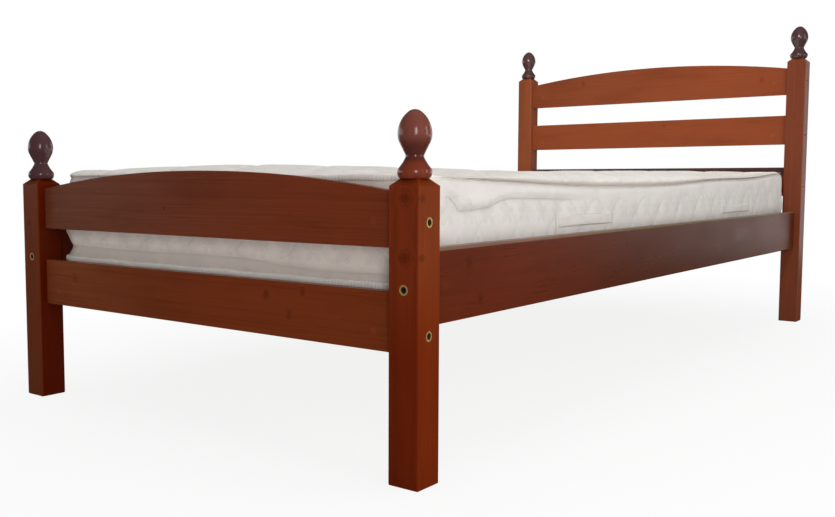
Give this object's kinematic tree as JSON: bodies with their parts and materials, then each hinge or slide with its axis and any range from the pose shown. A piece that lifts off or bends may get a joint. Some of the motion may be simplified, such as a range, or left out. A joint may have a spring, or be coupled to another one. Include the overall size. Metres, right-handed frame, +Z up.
{
  "type": "single bed",
  "caption": "Stained pine single bed: square posts with turned finials, arched head and foot rails, deep side rails, slatted deck and a loose quilted mattress.",
  "frame": {"origin": "on the floor, under the middle of the bed", "axes": "+X to the right seen from the foot end, +Y from the foot end to the head end, +Z up"},
  "size_m": [0.983, 2.083, 0.908],
  "materials": {
    "post_stain": "satin",
    "rail_stain": "satin",
    "finial_stain": "gloss",
    "bare_pine": "matte",
    "bolt_brass": "satin",
    "plated_steel": "satin",
    "quilted_cover": "matte",
    "edge_tape": "matte"
  },
  "bodies": {
    "frame": {"finial_foot_left": "finial_stain", "finial_foot_right": "finial_stain", "finial_head_left": "finial_stain", "finial_head_right": "finial_stain", "foot_end_bolts": "bolt_brass", "foot_end_dowels": "bare_pine", "foot_end_nuts": "plated_steel", "foot_lower_rail": "rail_stain", "foot_post_left": "post_stain", "foot_post_right": "post_stain", "foot_top_rail": "rail_stain", "head_end_bolts": "bolt_brass", "head_end_dowels": "bare_pine", "head_end_nuts": "plated_steel", "head_lower_rail": "rail_stain", "head_middle_rail": "rail_stain", "head_post_left": "post_stain", "head_post_right": "post_stain", "head_top_rail": "rail_stain", "ledger_left": "bare_pine", "ledger_right": "bare_pine", "ledger_screws": "plated_steel", "side_rail_bolts": "bolt_brass", "side_rail_dowels": "bare_pine", "side_rail_left": "rail_stain", "side_rail_nuts": "plated_steel", "side_rail_right": "rail_stain", "slat_01": "bare_pine", "slat_02": "bare_pine", "slat_03": "bare_pine", "slat_04": "bare_pine", "slat_05": "bare_pine", "slat_06": "bare_pine", "slat_07": "bare_pine", "slat_08": "bare_pine", "slat_09": "bare_pine", "slat_10": "bare_pine", "slat_11": "bare_pine", "slat_12": "bare_pine", "slat_13": "bare_pine"},
    "mattress": {"mattress": "quilted_cover", "mattress_bottom_tape": "edge_tape", "mattress_top_tape": "edge_tape"}
  },
  "joints": [
    {"name": "mattress_lift", "type": "slide", "parent": "frame", "child": "mattress", "axis": [0, 0, 1], "range_m": [0, 0.3]}
  ]
}
